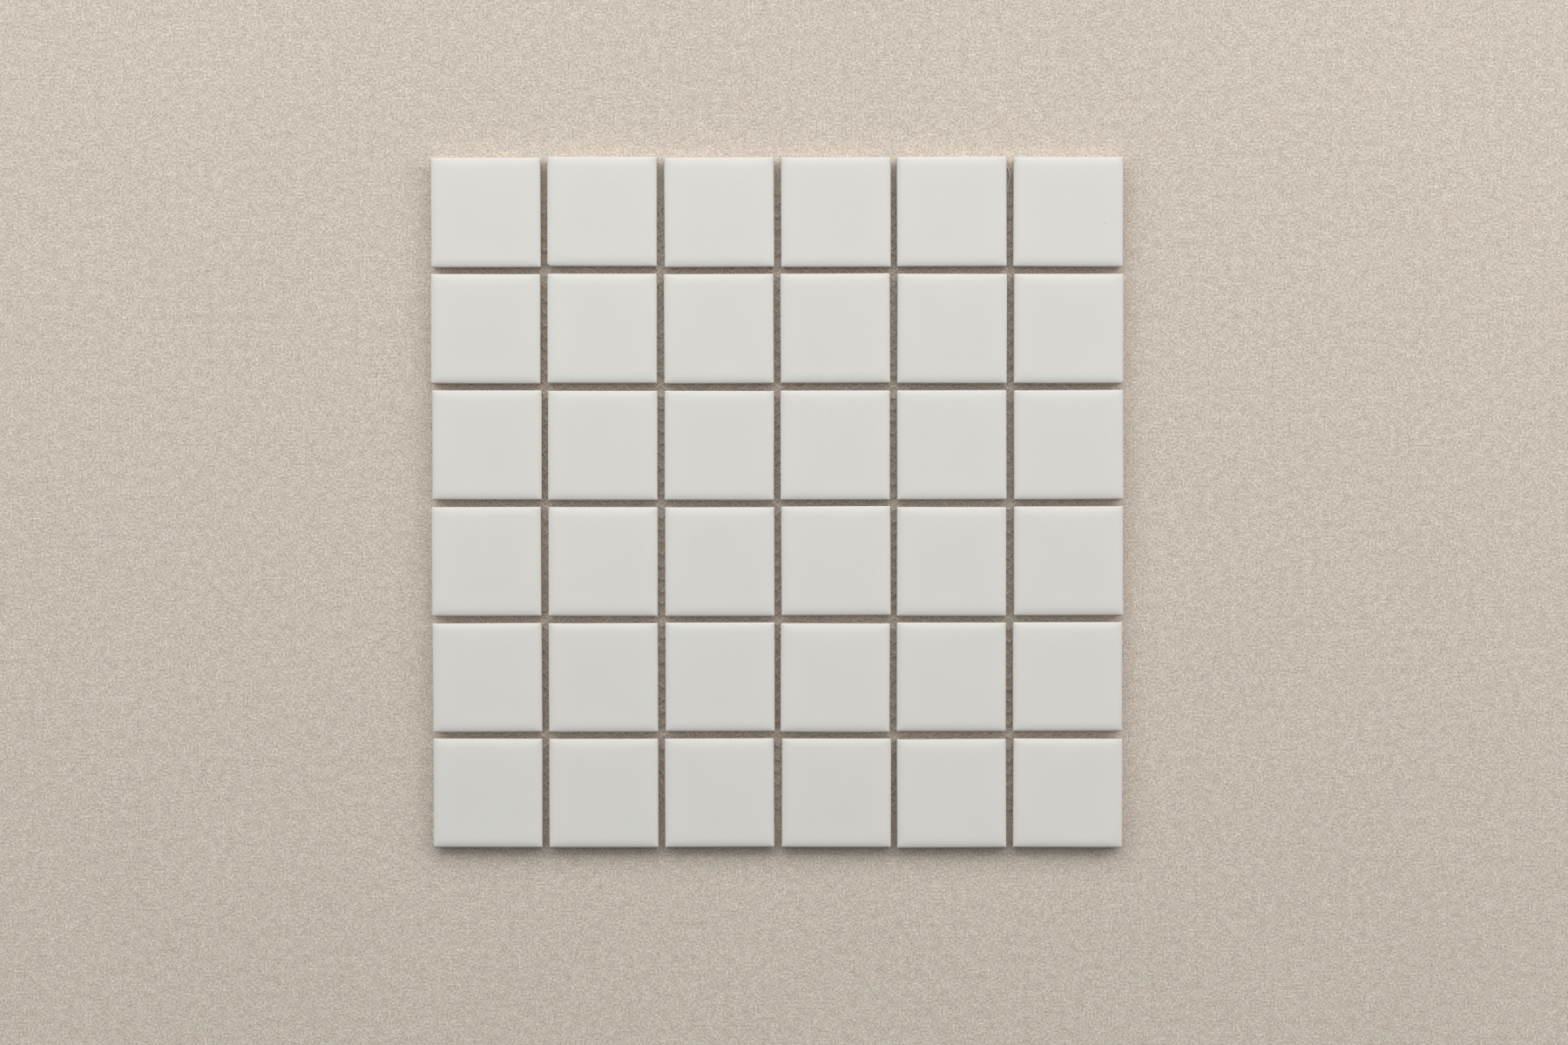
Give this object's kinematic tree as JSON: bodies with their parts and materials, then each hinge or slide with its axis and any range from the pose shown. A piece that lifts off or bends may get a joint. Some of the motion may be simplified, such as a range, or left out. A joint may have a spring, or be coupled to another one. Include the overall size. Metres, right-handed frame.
{
  "type": "mosaic tile sheet",
  "caption": "White glazed porcelain mosaic sheet: square tiles with rolled edges, joined edge to edge by an open net across their backs.",
  "frame": {"origin": "the middle of the sheet's outline, on the plane of the net's underside", "axes": "+Z out of the glazed faces, +X along a row of tiles, +Y up a column, as in the picture"},
  "size_m": [0.3034, 0.3036, 0.006],
  "materials": {
    "glazed_porcelain": "satin white glaze",
    "net_thread": "fine knitted thread stiffened with glue"
  },
  "bodies": {
    "root": {"backing_net": "net_thread", "tile_r1_c1": "glazed_porcelain", "tile_r1_c2": "glazed_porcelain", "tile_r1_c3": "glazed_porcelain", "tile_r1_c4": "glazed_porcelain", "tile_r1_c5": "glazed_porcelain", "tile_r1_c6": "glazed_porcelain", "tile_r2_c1": "glazed_porcelain", "tile_r2_c2": "glazed_porcelain", "tile_r2_c3": "glazed_porcelain", "tile_r2_c4": "glazed_porcelain", "tile_r2_c5": "glazed_porcelain", "tile_r2_c6": "glazed_porcelain", "tile_r3_c1": "glazed_porcelain", "tile_r3_c2": "glazed_porcelain", "tile_r3_c3": "glazed_porcelain", "tile_r3_c4": "glazed_porcelain", "tile_r3_c5": "glazed_porcelain", "tile_r3_c6": "glazed_porcelain", "tile_r4_c1": "glazed_porcelain", "tile_r4_c2": "glazed_porcelain", "tile_r4_c3": "glazed_porcelain", "tile_r4_c4": "glazed_porcelain", "tile_r4_c5": "glazed_porcelain", "tile_r4_c6": "glazed_porcelain", "tile_r5_c1": "glazed_porcelain", "tile_r5_c2": "glazed_porcelain", "tile_r5_c3": "glazed_porcelain", "tile_r5_c4": "glazed_porcelain", "tile_r5_c5": "glazed_porcelain", "tile_r5_c6": "glazed_porcelain", "tile_r6_c1": "glazed_porcelain", "tile_r6_c2": "glazed_porcelain", "tile_r6_c3": "glazed_porcelain", "tile_r6_c4": "glazed_porcelain", "tile_r6_c5": "glazed_porcelain", "tile_r6_c6": "glazed_porcelain"}
  },
  "joints": []
}
